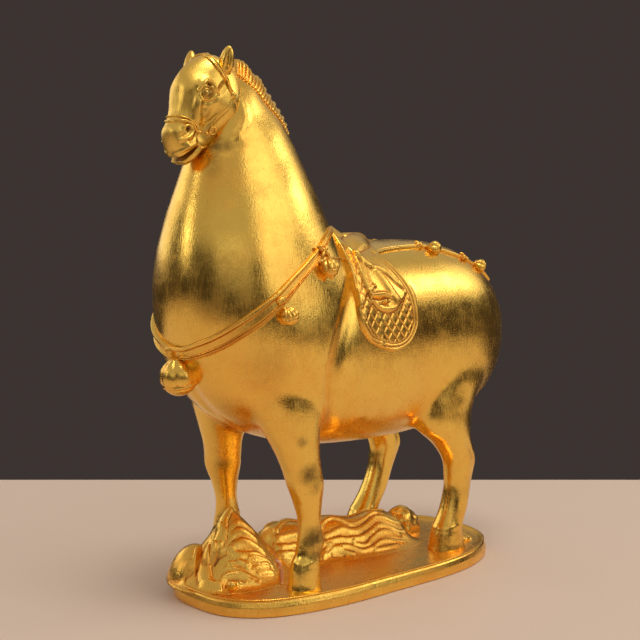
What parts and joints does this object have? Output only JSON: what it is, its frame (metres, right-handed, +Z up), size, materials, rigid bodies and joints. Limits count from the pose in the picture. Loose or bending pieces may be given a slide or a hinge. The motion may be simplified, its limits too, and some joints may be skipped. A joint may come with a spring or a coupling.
{
  "type": "bronze horse figure",
  "caption": "Gilt cast bronze figure of a saddled horse with bells on its harness, standing on a low oval base carved with waves.",
  "frame": {"origin": "on the flat underside of the base, on the horse's middle plane, midway along the base", "axes": "+Z up, -X the way the horse faces, -Y its left side"},
  "size_m": [0.3371, 0.1504, 0.4],
  "materials": {
    "gilding": "burnished gilding, orange in the hollows, worn dark on the knees and pasterns"
  },
  "bodies": {
    "root": {"horse_figure": "gilding"}
  },
  "joints": []
}
